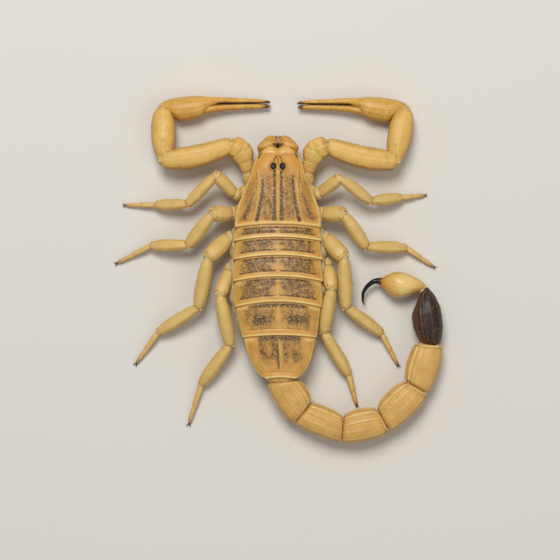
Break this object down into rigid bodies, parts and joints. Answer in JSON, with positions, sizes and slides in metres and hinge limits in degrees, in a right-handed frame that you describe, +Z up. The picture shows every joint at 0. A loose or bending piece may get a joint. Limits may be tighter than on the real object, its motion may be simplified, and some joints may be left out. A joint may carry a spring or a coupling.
{
  "type": "desert scorpion",
  "caption": "Life-size yellow desert scorpion lying still, pincer arms folded in front and the ringed tail curled flat beside it to the sting.",
  "frame": {"origin": "on the floor under the middle of the whole animal, pincers and tail included", "axes": "+X towards the animal's right, +Y towards the head, +Z up from the floor it lies on"},
  "size_m": [0.0496, 0.052, 0.0071],
  "materials": {
    "carapace_shell": "satin horn-like shell, yellow with brown bands",
    "back_plate": "finely grained shell, tan with dusky patches",
    "arm_shell": "satin horn-like shell",
    "leg_shell": "satin, slightly translucent shell",
    "tail_shell": "satin keeled shell",
    "dark_ring": "glossy brown-black keeled shell",
    "sting_tip": "glossy black horn",
    "eye": "glossy black",
    "soft_flank": "soft pleated membrane"
  },
  "bodies": {
    "root": {"carapace": "carapace_shell", "eye_left": "eye", "chelicera_left": "arm_shell", "pectine_left": "leg_shell", "eye_right": "eye", "chelicera_right": "arm_shell", "pectine_right": "leg_shell", "tergite_1": "back_plate", "tergite_2": "back_plate", "tergite_3": "back_plate", "tergite_4": "back_plate", "tergite_5": "back_plate", "tergite_6": "back_plate", "flanks": "soft_flank", "belly_plates": "leg_shell", "coxosternum": "leg_shell", "tail_ring_1": "tail_shell", "tail_ring_2": "tail_shell", "tail_ring_3": "tail_shell", "tail_ring_4": "tail_shell", "tail_ring_5": "tail_shell", "tail_ring_6": "dark_ring", "vesicle": "tail_shell", "sting": "sting_tip", "arm_left_base": "arm_shell", "arm_left_femur": "arm_shell", "arm_left_patella": "arm_shell", "arm_left_hand": "arm_shell", "arm_left_finger": "arm_shell", "leg_left_1_femur": "leg_shell", "leg_left_1_patella": "leg_shell", "leg_left_1_tibia": "leg_shell", "leg_left_2_femur": "leg_shell", "leg_left_2_patella": "leg_shell", "leg_left_2_tibia": "leg_shell", "leg_left_3_femur": "leg_shell", "leg_left_3_patella": "leg_shell", "leg_left_3_tibia": "leg_shell", "leg_left_4_femur": "leg_shell", "leg_left_4_patella": "leg_shell", "leg_left_4_tibia": "leg_shell", "arm_right_base": "arm_shell", "arm_right_femur": "arm_shell", "arm_right_patella": "arm_shell", "arm_right_hand": "arm_shell", "arm_right_finger": "arm_shell", "leg_right_1_femur": "leg_shell", "leg_right_1_patella": "leg_shell", "leg_right_1_tibia": "leg_shell", "leg_right_2_femur": "leg_shell", "leg_right_2_patella": "leg_shell", "leg_right_2_tibia": "leg_shell", "leg_right_3_femur": "leg_shell", "leg_right_3_patella": "leg_shell", "leg_right_3_tibia": "leg_shell", "leg_right_4_femur": "leg_shell", "leg_right_4_patella": "leg_shell", "leg_right_4_tibia": "leg_shell"}
  },
  "joints": []
}
